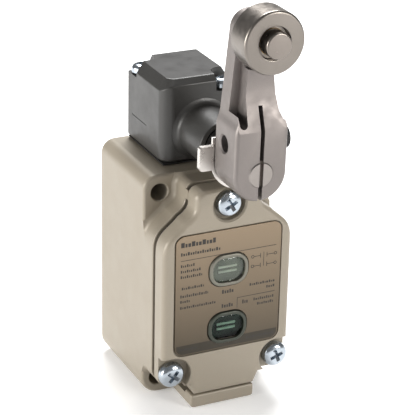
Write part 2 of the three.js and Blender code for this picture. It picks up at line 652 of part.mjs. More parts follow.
// ---------------------------------------------------------------- snap-action switch
function makeSwitch() {
  const caseBack = REAR_WALL_Y - 0.5;
  const plateBack = CASE_FRONT_Y + 1.7;
  const terminalR = 1.6;

  let base = block(-CASE_HALF_W, CASE_HALF_W, plateBack + GAP, caseBack, CASE_FOOT_Z, CASE_TOP_Z)
    .subtract(block(-11.3, 11.3, plateBack - PAST, -8, -7.5, 8.5))
    .subtract(bar('z', 2.2, 8, CASE_TOP_Z + PAST, [0, CAM_Y], 16));
  let front = block(-CASE_HALF_W, CASE_HALF_W, CASE_FRONT_Y, plateBack, CASE_FOOT_Z, CASE_TOP_Z);
  for (const x of [-CASE_SCREW_X, CASE_SCREW_X]) {
    const bore = bar('y', CASE_SCREW_R + GAP, CASE_FRONT_Y - PAST, 0, [x, CASE_SCREW_Z], 16);
    base = base.subtract(bore);
    front = front.subtract(bore);
    const screw = panScrew(2.7, 1.9, CASE_SCREW_R, 25.6);
    const side = x < 0 ? 'left' : 'right';
    facingFront(addPiece(`switch_screw_${side}`, screw, zinc), x, CASE_FRONT_Y - GAP, CASE_SCREW_Z);
  }

  const tagFrontY = CASE_FRONT_Y - 1.1;
  for (const x of [-TERMINAL_X, TERMINAL_X]) {
    for (const z of TERMINAL_Z) {
      const place = `${z > 0 ? 'upper' : 'lower'}_${x < 0 ? 'left' : 'right'}`;
      const bore = bar('y', terminalR + GAP, tagFrontY - PAST, plateBack + PAST, [x, z], 16);
      front = front.subtract(bore);
      const tag = block(x - 3.6, x + 3.6, tagFrontY, CASE_FRONT_Y - GAP, z - 3.4, z + 3.4);
      addPiece(`terminal_${place}`, tag.subtract(bore), brass);
      const screw = panScrew(2.9, 2.2, terminalR, 2.6);
      facingFront(addPiece(`terminal_screw_${place}`, screw, zinc), x, tagFrontY - GAP, z);
    }
  }
  addPiece('switch_case', base, phenolic);
  addPiece('switch_front', front, phenolic);

  const buttonTop = CASE_TOP_Z + 2.7;
  const button = turned([
    [0, 3], [1.5, 3], [1.9, 3.5], [1.9, buttonTop - 0.7], [1.3, buttonTop], [0, buttonTop],
  ]);
  addPiece('switch_button', button, ivory).position.y = CAM_Y;

  const contactX = 8.3;
  const post = (x, halfX, z0, z1) => block(x - halfX, x + halfX, CAM_Y - 1.5, CAM_Y + 1.5, z0, z1);
  const blade = block(-9.5, 9.6, CAM_Y - 3, CAM_Y + 3, 2, 2.3)
    .add(bar('z', 1.2, 1.45, 2.85, [contactX, CAM_Y], 12));
  addPiece('snap_blade', blade, brass);
  addPiece('contact_closed', post(contactX, 1.2, 3.2, 8.2), brass);
  addPiece('contact_open', post(contactX, 1.2, -7.2, -2.3), brass);
  addPiece('contact_common', post(-9.6, 1.1, -7.2, 1.6), brass);

  const earth = panScrew(3.2, 2.3, EARTH_R, 2.9);
  facingFront(addPiece('earth_screw', earth, zinc), EARTH_X, REAR_WALL_Y - GAP, EARTH_Z);
}

makeBody();
makeCover();
makeCoverParts();
makeHead();
makeShaft();
makeLever();
makeRoller();
makeSwitch();

// What turns with the lever is made upright above, and leans about the shaft here.
const toShaft = new THREE.Matrix4().makeTranslation(0, 0, SHAFT_Z);
const lean = toShaft.clone()
  .multiply(new THREE.Matrix4().makeRotationY(LEAN))
  .multiply(toShaft.clone().invert());
const leaning = [
  'rotary_shaft', 'lever_arm', 'position_plate', 'clamp_bolt', 'roller', 'roller_bush', 'roller_pin',
];
for (const name of leaning) group.getObjectByName(name).applyMatrix4(lean);

export default group;
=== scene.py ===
"""Looks of a roller-lever limit switch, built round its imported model.

Outlines are drawn in millimetres, seen from the front (x to the right, z up), and y runs to the rear.
"""
import json
import math

import bmesh
import bpy
from mathutils import Matrix, Vector


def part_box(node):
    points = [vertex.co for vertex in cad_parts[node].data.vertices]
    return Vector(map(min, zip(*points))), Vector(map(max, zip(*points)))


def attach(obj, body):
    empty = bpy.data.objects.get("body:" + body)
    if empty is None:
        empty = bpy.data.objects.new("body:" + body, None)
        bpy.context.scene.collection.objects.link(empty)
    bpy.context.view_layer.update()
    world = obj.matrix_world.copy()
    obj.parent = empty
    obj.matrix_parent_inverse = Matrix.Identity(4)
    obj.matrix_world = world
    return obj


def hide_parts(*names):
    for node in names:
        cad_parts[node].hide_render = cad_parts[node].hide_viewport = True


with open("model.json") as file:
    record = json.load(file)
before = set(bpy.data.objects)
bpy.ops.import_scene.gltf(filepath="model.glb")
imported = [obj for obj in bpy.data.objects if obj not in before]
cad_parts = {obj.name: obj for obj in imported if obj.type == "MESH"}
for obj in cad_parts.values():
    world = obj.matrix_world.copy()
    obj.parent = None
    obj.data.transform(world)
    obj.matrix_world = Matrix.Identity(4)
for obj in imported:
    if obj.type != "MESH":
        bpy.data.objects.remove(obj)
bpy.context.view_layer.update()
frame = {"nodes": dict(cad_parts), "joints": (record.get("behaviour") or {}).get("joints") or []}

MM = 0.001
QUARTER = math.pi / 2


# ------------------------------------------------------------------ sizes from the frame
def box_mm(node):
    """A node's lowest and highest corners, in millimetres."""
    low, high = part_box(node)
    return low / MM, high / MM


def joint_mm(name):
    """Where a joint's axis is, in millimetres."""
    joint = next(j for j in frame["joints"] if j["name"] == name)
    return Vector(joint["pos_m"]) / MM


BODY_LOW, BODY_HIGH = box_mm("switch_body")
COVER_LOW, COVER_HIGH = box_mm("cover")
LABEL_LOW, LABEL_HIGH = box_mm("nameplate")
HEAD_LOW, HEAD_HIGH = box_mm("head_housing")
LEVER_LOW, LEVER_HIGH = box_mm("lever_arm")
GASKET_LOW, GASKET_HIGH = box_mm("head_gasket")
SHAFT = joint_mm("lever_rotation")
ROLLER = joint_mm("roller_spin")

HALF_W = BODY_HIGH.x
BODY_TOP_Z = BODY_HIGH.z
BODY_FOOT_Z = BODY_LOW.z
NOSE_Y = BODY_LOW.y
FRONT_Y = COVER_LOW.y
COVER_BACK_Y = COVER_HIGH.y
RIM_Y = COVER_BACK_Y + 0.9
LUG_Y = RIM_Y + 7.6
NECK_TOP_Z = COVER_HIGH.z
TONGUE_Z = COVER_LOW.z
HEAD_FRONT_Y = GASKET_LOW.y - 0.4
HEAD_REAR_Y = GASKET_HIGH.y + 0.4
HEAD_MID_Y = -14.6
HUB_BACK_Y = LEVER_HIGH.y
HUB_FRONT_Y = LEVER_LOW.y
HUB_HALF = 7.8
REACH = math.hypot(ROLLER.x - SHAFT.x, ROLLER.z - SHAFT.z)
ROLLER_Z = SHAFT.z + REACH


# ------------------------------------------------------------------ outlines
def arc(x, z, radius, start, end, steps=10):
    """Points on an arc round (x, z), from one angle to another, in degrees."""
    turn = math.radians(end - start) / steps
    first = math.radians(start)
    return [(x + radius * math.cos(first + turn * i), z + radius * math.sin(first + turn * i))
            for i in range(steps + 1)]


def curve(points, steps=10):
    """A cubic Bezier curve through two ends with two handles, its first point left out."""
    a, b, c, d = (Vector(p) for p in points)
    out = []
    for i in range(1, steps + 1):
        t = i / steps
        s = 1 - t
        out.append(tuple(a * s**3 + b * 3 * s * s * t + c * 3 * s * t * t + d * t**3))
    return out


def mirrored(half):
    """A closed outline from its right half, listed from the foot up."""
    return half + [(-x, z) for x, z in reversed(half)]


def rounded_rect(x0, x1, z0, z1, foot_r, top_r=None, steps=8):
    """A rectangle's outline with one corner radius at its foot and, if given, another at its top."""
    top_r = foot_r if top_r is None else top_r
    return (arc(x1 - foot_r, z0 + foot_r, foot_r, -90, 0, steps)
            + arc(x1 - top_r, z1 - top_r, top_r, 0, 90, steps)
            + arc(x0 + top_r, z1 - top_r, top_r, 90, 180, steps)
            + arc(x0 + foot_r, z0 + foot_r, foot_r, 180, 270, steps))


def grown(outline, amount):
    """The outline moved outwards, or inwards for a negative amount, all the way round."""
    out = []
    count = len(outline)
    for i in range(count):
        before = Vector(outline[i - 1])
        here = Vector(outline[i])
        after = Vector(outline[(i + 1) % count])
        first = (here - before).normalized()
        second = (after - here).normalized()
        tangent = (first + second).normalized()
        normal = Vector((tangent.y, -tangent.x))
        miter = max(0.5, normal.dot(Vector((first.y, -first.x))))
        out.append(tuple(here + normal * (amount / miter)))
    return out


def cover_outline():
    """The outline that cover and body rim share."""
    neck = 10.3
    shoulder_z = 15.5
    waist_z = 25.2
    ear_z = -26.5
    ear_r = 3.3
    tongue = 11.0
    half = [(tongue - 1.6, TONGUE_Z), (tongue, TONGUE_Z + 3.4)]
    half += arc(HALF_W - ear_r, ear_z + ear_r, ear_r, -90, 0, 8)
    half += [(HALF_W, z) for z in (-16.0, -8.0, 0.0, 8.0, shoulder_z)]
    half += curve([(HALF_W, shoulder_z), (HALF_W, shoulder_z + 6), (HALF_W - 4.2, waist_z - 3),
                   (neck + 3.2, waist_z)], 14)
    half += curve([(neck + 3.2, waist_z), (neck + 1.1, waist_z + 1.2), (neck, waist_z + 2.4),
                   (neck, waist_z + 4)], 6)
    half += arc(neck - 2.7, NECK_TOP_Z - 2.7, 2.7, 0, 90, 8)
    return mirrored(half)


# ------------------------------------------------------------------ solids
def link(name, bm):
    """Puts a bmesh into the scene as a new object."""
    mesh = bpy.data.meshes.new(name)
    bmesh.ops.recalc_face_normals(bm, faces=bm.faces)
    bm.to_mesh(mesh)
    bm.free()
    obj = bpy.data.objects.new(name, mesh)
    bpy.context.scene.collection.objects.link(obj)
    return obj


def loft(name, rings):
    """A closed solid through rings of (x, y, z) points, all of one count, with flat ends."""
    bm = bmesh.new()
    layers = [[bm.verts.new(Vector(p) * MM) for p in ring] for ring in rings]
    count = len(rings[0])
    for low, high in zip(layers, layers[1:]):
        for i in range(count):
            j = (i + 1) % count
            bm.faces.new((low[i], low[j], high[j], high[i]))
    bm.faces.new(layers[0])
    bm.faces.new(layers[-1])
    bmesh.ops.remove_doubles(bm, verts=bm.verts, dist=1e-7)
    bmesh.ops.dissolve_degenerate(bm, dist=1e-7, edges=bm.edges)
    return link(name, bm)


def at_y(outline, y):
    return [(x, y, z) for x, z in outline]


def at_z(outline, z):
    return [(x, y, z) for x, y in outline]


def quarter(radius, steps=5):
    """A rounded edge as (inset, rise) pairs: from the side, on towards the flat."""
    pairs = []
    for i in range(steps + 1):
        a = QUARTER * i / steps
        pairs.append((radius * (1 - math.cos(a)), radius * math.sin(a)))
    return pairs


def slab(name, outline, back, front, back_r=0.0, front_r=0.0, steps=5):
    """An outline made solid from y = back to y = front, with rounded edges at either end."""
    rings = []
    if back_r:
        rings += [at_y(grown(outline, -i), back - back_r + r) for i, r in quarter(back_r, steps)][::-1]
    else:
        rings.append(at_y(outline, back))
    if front_r:
        rings += [at_y(grown(outline, -i), front + front_r - r) for i, r in quarter(front_r, steps)]
    else:
        rings.append(at_y(outline, front))
    return loft(name, rings)


def pocket(outline, floor, mouth, lip=0.3, past=1.5):
    """A tool that sinks an outline from y = mouth back to y = floor and rounds the edge it leaves."""
    rings = [at_y(outline, floor), at_y(outline, mouth + lip)]
    rings += [at_y(grown(outline, i), mouth + lip - r) for i, r in quarter(lip, 4)[1:]]
    rings.append(at_y(grown(outline, lip), mouth - past))
    return loft("tool", rings)


AXES = {
    "x": Matrix(((0, 0, 1), (1, 0, 0), (0, 1, 0))).to_4x4(),
    "y": Matrix(((1, 0, 0), (0, 0, -1), (0, 1, 0))).to_4x4(),
    "z": Matrix.Identity(4),
}


def turned(name, profile, axis, centre, sides=64):
    """A turned solid. profile lists (radius, height); height runs along +x, -y (the front) or +z."""
    bm = bmesh.new()
    rings = []
    for radius, height in profile:
        if radius < 1e-6:
            rings.append([bm.verts.new((0, 0, height * MM))])
        else:
            rings.append([bm.verts.new((radius * MM * math.cos(2 * math.pi * i / sides),
                                        radius * MM * math.sin(2 * math.pi * i / sides), height * MM))
                          for i in range(sides)])
    closed = profile[0] == profile[-1]
    if closed:
        bmesh.ops.delete(bm, geom=rings.pop(), context="VERTS")
        rings.append(rings[0])
    for low, high in zip(rings, rings[1:]):
        for i in range(sides):
            j = (i + 1) % sides
            if len(low) == 1 and len(high) == 1:
                continue
            if len(low) == 1:
                bm.faces.new((low[0], high[j], high[i]))
            elif len(high) == 1:
                bm.faces.new((low[i], low[j], high[0]))
            else:
                bm.faces.new((low[i], low[j], high[j], high[i]))
    bm.transform(Matrix.Translation(Vector(centre) * MM) @ AXES[axis])
    return link(name, bm)


def hole(axis, radius, floor, mouth, centre, lip=0.25, sides=40, past=2.0):
    """A tool for a round hole with a chamfered mouth. floor and mouth are places on the axis."""
    step = 1 if mouth > floor else -1
    profile = [(0, floor), (radius, floor), (radius, mouth - step * lip),
               (radius + lip, mouth), (radius + lip, mouth + step * past), (0, mouth + step * past)]
    if axis == "y":
        profile = [(r, -h) for r, h in profile]
    return turned("tool", profile, axis, centre, sides)


def block(x0, x1, y0, y1, z0, z1):
    """A plain box used as a tool."""
    return loft("tool", [at_z([(x0, y0), (x1, y0), (x1, y1), (x0, y1)], z) for z in (z0, z1)])


def settle(obj):
    """Applies the object's modifiers."""
    graph = bpy.context.evaluated_depsgraph_get()
    mesh = bpy.data.meshes.new_from_object(obj.evaluated_get(graph), depsgraph=graph)
    obj.modifiers.clear()
    old = obj.data
    obj.data = mesh
    mesh.name = obj.name
    bpy.data.meshes.remove(old)
    return obj


def combine(obj, how, tools):
    """Applies one boolean for each tool in turn, and removes the tool."""
    for tool in tools:
        step = obj.modifiers.new("step", "BOOLEAN")
        step.operation = how
        step.solver = "EXACT"
        step.object = tool
        settle(obj)
        bpy.data.objects.remove(tool)
    return obj


def cut(obj, *tools):
    return combine(obj, "DIFFERENCE", tools)


def fuse(obj, *tools):
    return combine(obj, "UNION", tools)


def common(obj, *tools):
    return combine(obj, "INTERSECT", tools)


def bevelled(obj, width, segments=3, angle=30):
    """Rounds every edge sharper than the angle."""
    step = obj.modifiers.new("bevel", "BEVEL")
    step.width = width * MM
    step.segments = segments
    step.limit_method = "ANGLE"
    step.angle_limit = math.radians(angle)
    step.use_clamp_overlap = True
    step.miter_outer = "MITER_ARC"
    return settle(obj)


def leaned(obj):
    """Turns what is made upright about the shaft, to where the lever stands."""
    angle = math.atan2(ROLLER.x - SHAFT.x, ROLLER.z - SHAFT.z)
    shift = Matrix.Translation(SHAFT * MM)
    obj.data.transform(shift @ Matrix.Rotation(angle, 4, "Y") @ shift.inverted())
    return obj


def joined(name, pieces):
    """Several meshes as one piece."""
    bm = bmesh.new()
    for piece in pieces:
        bm.from_mesh(piece.data)
        bpy.data.objects.remove(piece)
    mesh = bpy.data.meshes.new(name)
    bm.to_mesh(mesh)
    bm.free()
    obj = bpy.data.objects.new(name, mesh)
    bpy.context.scene.collection.objects.link(obj)
    return obj


def show(obj, name, body, material, replaces=(), sharp=32):
    """Finishes a piece: smooth shading between sharp edges, its material and body, and hides the CAD nodes it
    replaces.
    """
    obj.name = name
    mesh = obj.data
    mesh.name = name
    mesh.materials.clear()
    mesh.materials.append(material)
    mesh.polygons.foreach_set("material_index", [0] * len(mesh.polygons))
    mesh.polygons.foreach_set("use_smooth", [True] * len(mesh.polygons))
    mesh.set_sharp_from_angle(angle=math.radians(sharp))
    weighted = obj.modifiers.new("weighted", "WEIGHTED_NORMAL")
    weighted.keep_sharp = True
    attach(obj, body)
    if replaces:
        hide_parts(*replaces)
    return obj


# ------------------------------------------------------------------ materials
def object_place(tree, stretch=(1, 1, 1)):
    """The point being shaded, in millimetres of the row frame."""
    where = tree.nodes.new("ShaderNodeTexCoord")
    fit = tree.nodes.new("ShaderNodeMapping")
    fit.inputs["Scale"].default_value = [s / MM for s in stretch]
    tree.links.new(where.outputs["Object"], fit.inputs["Vector"])
    return fit.outputs["Vector"]


def noise(tree, place, cells, detail=3.0, roughness=0.5):
    """A noise field with this many cells per millimetre."""
    field = tree.nodes.new("ShaderNodeTexNoise")
    field.inputs["Scale"].default_value = cells
    field.inputs["Detail"].default_value = detail
    field.inputs["Roughness"].default_value = roughness
    tree.links.new(place, field.inputs["Vector"])
    return field.outputs["Fac"]


def ranged(tree, value, low, high, from_low=0.3, from_high=0.7):
    """A value moved from one range into another."""
    node = tree.nodes.new("ShaderNodeMapRange")
    node.inputs["From Min"].default_value = from_low
    node.inputs["From Max"].default_value = from_high
    node.inputs["To Min"].default_value = low
    node.inputs["To Max"].default_value = high
    tree.links.new(value, node.inputs["Value"])
    return node.outputs["Result"]


def blended(tree, value, dark, light):
    """A colour from dark to light as a value goes from 0 to 1."""
    ramp = tree.nodes.new("ShaderNodeValToRGB")
    ramp.color_ramp.elements[0].color = (*dark, 1)
    ramp.color_ramp.elements[1].color = (*light, 1)
    tree.links.new(value, ramp.inputs["Fac"])
    return ramp.outputs["Color"]


def relief(tree, height, depth, strength=1.0, under=None):
    """A normal with a height field's relief, depth in millimetres, over another normal if given."""
    node = tree.nodes.new("ShaderNodeBump")
    node.inputs["Strength"].default_value = strength
    node.inputs["Distance"].default_value = depth * MM
    tree.links.new(height, node.inputs["Height"])
    if under is not None:
        tree.links.new(under, node.inputs["Normal"])
    return node.outputs["Normal"]


def shades(color, spread):
    """A colour made darker and lighter by a share."""
    return [c * (1 - spread) for c in color], [min(1.0, c * (1 + spread)) for c in color]


def start_material(name, sockets):
    """A new material, its node tree and its shader, with these sockets set."""
    material = bpy.data.materials.new(name)
    material.use_nodes = True
    shader = material.node_tree.nodes["Principled BSDF"]
    for socket, value in sockets.items():
        shader.inputs[socket].default_value = value
    return material, material.node_tree, shader


def grained(name, color, roughness, spread=0.06, drift=0.05, grain=3.0, depth=0.01, polish=0.06,
            stretch=(1, 1, 1), **sockets):
    """Fine relief at grain cells per millimetre, with slow drifts of colour and gloss."""
    material, tree, shader = start_material(name, sockets)
    place = object_place(tree, stretch)
    slow = noise(tree, place, drift, 4.0)
    fine = noise(tree, place, grain, 2.0)
    mixed = tree.nodes.new("ShaderNodeMath")
    mixed.operation = "ADD"
    tree.links.new(ranged(tree, slow, 0.0, 0.6), mixed.inputs[0])
    tree.links.new(ranged(tree, fine, 0.0, 0.4), mixed.inputs[1])
    dark, light = shades(color, spread)
    tree.links.new(blended(tree, mixed.outputs[0], dark, light), shader.inputs["Base Color"])
    gloss = ranged(tree, noise(tree, place, drift * 4, 3.0), roughness - polish, roughness + polish)
    tree.links.new(gloss, shader.inputs["Roughness"])
    tree.links.new(relief(tree, fine, depth), shader.inputs["Normal"])
    return material


def ring_marked(name, color, roughness, axis, centre, rings=6.0, depth=0.004, spread=0.06, **sockets):
    """Metal turned on a lathe about an axis through centre, with fine rings round that axis."""
    material, tree, shader = start_material(name, sockets)
    place = object_place(tree)
    flat = tree.nodes.new("ShaderNodeVectorMath")
    flat.operation = "MULTIPLY"
    keep = [0.0 if letter == axis else 1.0 for letter in "xyz"]
    flat.inputs[1].default_value = keep
    tree.links.new(place, flat.inputs[0])
    reach = tree.nodes.new("ShaderNodeVectorMath")
    reach.operation = "DISTANCE"
    reach.inputs[1].default_value = [c * k for c, k in zip(centre, keep)]
    tree.links.new(flat.outputs[0], reach.inputs[0])
    marks = tree.nodes.new("ShaderNodeTexNoise")
    marks.noise_dimensions = "1D"
    marks.inputs["Scale"].default_value = rings
    marks.inputs["Detail"].default_value = 2.0
    tree.links.new(reach.outputs["Value"], marks.inputs["W"])
    slow = noise(tree, place, 0.12, 4.0)
    dark, light = shades(color, spread)
    tree.links.new(blended(tree, ranged(tree, slow, 0.0, 1.0), dark, light), shader.inputs["Base Color"])
    gloss = ranged(tree, noise(tree, place, 0.7, 3.0), roughness - 0.06, roughness + 0.07)
    tree.links.new(gloss, shader.inputs["Roughness"])
    pits = relief(tree, noise(tree, place, 5.0, 2.0), depth * 0.7)
    tree.links.new(relief(tree, marks.outputs["Fac"], depth, 1.0, pits), shader.inputs["Normal"])
    return material


def painted_reflection_fade(name, low_color, high_color, roughness, low_z, high_z, **sockets):
    """Brushed metal foil whose colour goes from one colour at its foot to another at its top: a painted
    reflection, darker towards the foot and lighter at the top.
    """
    material, tree, shader = start_material(name, {"Roughness": roughness, **sockets})
    place = object_place(tree)
    split = tree.nodes.new("ShaderNodeSeparateXYZ")
    tree.links.new(place, split.inputs[0])
    height = ranged(tree, split.outputs["Z"], 0.0, 1.0, low_z, high_z)
    tree.links.new(blended(tree, height, low_color, high_color), shader.inputs["Base Color"])
    brushed = noise(tree, object_place(tree, (0.12, 1, 3)), 1.6, 2.0)
    tree.links.new(relief(tree, brushed, 0.004), shader.inputs["Normal"])
    return material


def rgb(red, green, blue):
    """An sRGB colour, 0 to 255, as the shader's linear numbers."""
    return [((c / 255 + 0.055) / 1.055) ** 2.4 if c > 10 else c / 255 / 12.92 for c in (red, green, blue)]


def make_materials():
    """One finish for each material slot, and a few for printed or moulded detail."""
    paint = {"Metallic": 0.15, "Coat Weight": 0.15, "Coat Roughness": 0.35}
    steel = {"Metallic": 1.0}
    head_axis = (SHAFT.x, 0, SHAFT.z)
    roller_axis = (ROLLER.x, 0, ROLLER.z)
    return {
        "housing_paint": grained("housing_paint_look", rgb(144, 135, 120), 0.44, spread=0.035, drift=0.03,
                                 grain=2.2, depth=0.012, **paint),
        "head_paint": grained("head_paint_look", rgb(48, 47, 45), 0.42, spread=0.08, drift=0.05,
                              grain=3.0, depth=0.014, **{"Metallic": 0.1, "Coat Weight": 0.1}),
        "sintered_steel": grained("sintered_steel_look", rgb(126, 120, 117), 0.46, spread=0.07,
                                  drift=0.09, grain=4.5, depth=0.02, polish=0.08, **{"Metallic": 0.75}),
        "satin_steel": ring_marked("satin_steel_look", rgb(130, 124, 118), 0.34, "y", roller_axis, **steel),
        "shaft_steel": ring_marked("shaft_steel_look", rgb(146, 140, 136), 0.36, "y", head_axis, **steel),
        "pin_steel": ring_marked("pin_steel_look", rgb(134, 127, 121), 0.32, "y", roller_axis, **steel),
        "plate_steel": grained("plate_steel_look", rgb(206, 201, 196), 0.3, spread=0.03, drift=0.1,
                               grain=3.0, depth=0.002, **steel),
        "spring_steel": grained("spring_steel_look", rgb(150, 146, 142), 0.3, drift=0.4, grain=6.0,
                                depth=0.004, **steel),
        "zinc_plate": grained("zinc_plate_look", rgb(176, 184, 192), 0.22, spread=0.08, drift=0.3,
                              grain=5.0, depth=0.006, **steel),
        "black_oxide": grained("black_oxide_look", rgb(34, 33, 34), 0.45, spread=0.15, drift=0.3,
                               grain=5.0, depth=0.01, **{"Metallic": 0.6}),
        "brass_plain": grained("brass_plain_look", rgb(196, 160, 98), 0.32, drift=0.2, grain=5.0,
                               depth=0.006, **steel),
        "seal_rubber": grained("seal_rubber_look", rgb(26, 24, 22), 0.8, spread=0.2, drift=0.2,
                               grain=4.0, depth=0.02),
        # painted reflection: the nameplate is coloured darker towards its foot and lighter at its top
        "label_metal": painted_reflection_fade("label_metal_look", rgb(76, 68, 56), rgb(134, 118, 98), 0.34,
                             LABEL_LOW.z, LABEL_HIGH.z, **{"Metallic": 0.6}),
        "label_ink": grained("label_ink_look", rgb(34, 28, 22), 0.5, spread=0.1, drift=0.3, grain=4.0,
                             depth=0.004),
        "label_band": grained("label_band_look", rgb(54, 49, 40), 0.38, spread=0.06, drift=0.08,
                              grain=1.6, depth=0.004, stretch=(0.12, 1, 3), **{"Metallic": 0.5}),
        "lens_clear": grained("lens_clear_look", rgb(206, 214, 205), 0.08, spread=0.03, polish=0.03,
                              grain=0.8, depth=0.001, **{"Transmission Weight": 1.0, "IOR": 1.45}),
        "lens_dark": grained("lens_dark_look", rgb(170, 190, 180), 0.05, spread=0.05, polish=0.03,
                             grain=0.8, depth=0.001, **{"Transmission Weight": 1.0, "IOR": 1.2}),
        "insert_upper": grained("insert_upper_look", rgb(118, 122, 108), 0.5, spread=0.05, depth=0.01),
        "insert_lower": grained("insert_lower_look", rgb(3, 7, 6), 0.4, spread=0.2, depth=0.01),
        "light_bar": grained("light_bar_look", rgb(236, 238, 230), 0.35, spread=0.04, depth=0.006),
        "bezel_upper": grained("bezel_upper_look", rgb(112, 110, 100), 0.32, spread=0.05, drift=0.3,
                               grain=4.0, depth=0.004, **{"Metallic": 0.5}),
        "bezel_lower": grained("bezel_lower_look", rgb(58, 62, 54), 0.32, spread=0.05, drift=0.3,
                               grain=4.0, depth=0.004, **{"Metallic": 0.5}),
        "phenolic": grained("phenolic_look", rgb(96, 52, 38), 0.5, spread=0.12, drift=0.3, grain=2.0,
                            depth=0.02),
        "ivory_plastic": grained("ivory_plastic_look", rgb(222, 214, 194), 0.45, spread=0.03, drift=0.2,
                                 grain=3.0, depth=0.008, **{"Subsurface Weight": 0.05}),
    }


LOOKS = make_materials()


def dress_cad(node, slot, look=None):
    """A CAD node keeps its shape and takes one of the finishes."""
    mesh = frame["nodes"][node].data
    for i in range(len(mesh.materials)):
        mesh.materials[i] = LOOKS[look or slot]
    if not mesh.materials:
        mesh.materials.append(LOOKS[look or slot])


# ------------------------------------------------------------------ body
HOLE_X = 15.1
HOLE_Z = 29.35
TOP_SCREW_Z = 28.95
LOW_SCREW_X = 16.5
LOW_SCREW_Z = -22.0
COVER_SCREWS = ((0, TOP_SCREW_Z), (-LOW_SCREW_X, LOW_SCREW_Z), (LOW_SCREW_X, LOW_SCREW_Z))
HEAD_SCREWS = [(HEAD_LOW.x + 3.2, HEAD_REAR_Y - 3.2), (HEAD_HIGH.x - 3.2, HEAD_FRONT_Y + 3.2)]
CONDUIT_Y = -21.0
NOSE_HALF = 10
NOSE_TOP_Z = TONGUE_Z - 0.9


def through_front(outline, back, front):
    """A straight tool through an outline."""
    return loft("tool", [at_y(outline, back), at_y(outline, front)])


def make_body():
    case = rounded_rect(-HALF_W, HALF_W, BODY_FOOT_Z, BODY_TOP_Z, 5.3, 4.0)
    rim = cover_outline()
    fillet = 1.6
    flare = [at_y(grown(rim, fillet), LUG_Y + 4.0)]
    for i in range(6):
        a = QUARTER * i / 5
        flare.append(at_y(grown(rim, fillet * (1 - math.sin(a))), LUG_Y + 0.05 - fillet * (1 - math.cos(a))))
    rim_y = RIM_Y + 0.8
    for inset, rise in quarter(0.35, 3):
        flare.append(at_y(grown(rim, -inset), rim_y + 0.35 - rise))
    wall = common(loft("rim", flare), through_front(case, 5, RIM_Y - 5))
    body = fuse(slab("body", case, 0, LUG_Y, 0.7, 0.9), wall)

    nose = rounded_rect(-NOSE_HALF, NOSE_HALF, BODY_FOOT_Z, TONGUE_Z + 3.4, 0.9, 0.5)
    body = fuse(body, slab("tool", nose, LUG_Y + 3, RIM_Y + 0.85, 0, 0))
    lip = rounded_rect(-NOSE_HALF, NOSE_HALF, BODY_FOOT_Z, NOSE_TOP_Z, 0.9, 0.6)
    body = fuse(body, slab("tool", lip, LUG_Y + 1, NOSE_Y, 0, 0.6, 4))
    # the cover's neck closes tightly here, so no gap shows at its sides
    for x0, x1 in ((-10.28, -9.86), (9.86, 10.28)):
        body = fuse(body, block(x0, x1, RIM_Y + 1, COVER_BACK_Y + 0.03, 29.6, 32.4))

    hollow = mirrored([(11.6, -31.45), (11.6, -17.4), (17.2, -15.4), (17.2, 13), (14.4, 18.6), (7.4, 24)])
    cut(body, through_front(hollow, -4.5, RIM_Y - 1))
    collar = [(0, BODY_FOOT_Z + 1.2), (12, BODY_FOOT_Z + 1.2), (12, -24.4), (11.6, -24), (0, -24)]
    body = fuse(body, turned("tool", collar, "z", (0, CONDUIT_Y, 0), 64))
    tools = [hole("z", 9.5, -22, BODY_FOOT_Z, (0, CONDUIT_Y, 0), 0.8, 56)]
    for x in (-HOLE_X, HOLE_X):
        for z in (-HOLE_Z, HOLE_Z):
            tools.append(hole("y", 2.55, 2, LUG_Y, (x, 0, z), 0.3, 40))
    for x, z in COVER_SCREWS:
        tools.append(hole("y", 2.15, RIM_Y + 11, RIM_Y, (x, 0, z), 0.2, 24))
    for x, y in HEAD_SCREWS:
        tools.append(hole("z", 2.0, 26, BODY_TOP_Z, (x, y, 0), 0.2, 24))
    tools.append(hole("z", 4.9, 26.5, BODY_TOP_Z, (0, HEAD_MID_Y, 0), 0.3, 32))
    tools.append(hole("z", 2.4, 22.5, 26.5, (0, HEAD_MID_Y, 0), 0.01, 24, 1))
    for x, z, r in ((-9.5, -11.8, 1.7), (9.5, -11.8, 1.7), (8, -24, 2.0)):
        tools.append(hole("y", r, -1.6, -4.5, (x, 0, z), 0.1, 20, 1))
    cut(body, *tools)
    return show(body, "body_casting", "housing", LOOKS["housing_paint"], ["switch_body"])


# ------------------------------------------------------------------ cover and what it carries
def window_outline(centre_z, grow):
    """The stadium shape of a window at this height, larger or smaller by an amount."""
    half_w = 6.1 + grow
    half_h = 4.9 + grow
    corner = min(half_h, 4.4 + grow) - 0.01
    return rounded_rect(-half_w, half_w, centre_z - half_h, centre_z + half_h, corner, steps=12)


def notch_outline(side):
    """The corner cut away round a lower screw, seen from the front, on one side (-1 or 1)."""
    right = [(12.48, -34), (24, -34), (24, LOW_SCREW_Z + 5.5)]
    right += arc(LOW_SCREW_X, LOW_SCREW_Z, 5.5, 90, 223, 16)
    if side > 0:
        return right
    return [(-x, z) for x, z in reversed(right)]


WINDOW_Z = 9.05
LOW_SEAT_Y = -43.0
TOP_SEAT_Y = -43.6
LABEL_W = LABEL_HIGH.x
LABEL_OUTLINE = rounded_rect(-LABEL_W, LABEL_W, LABEL_LOW.z, LABEL_HIGH.z, 2.6)


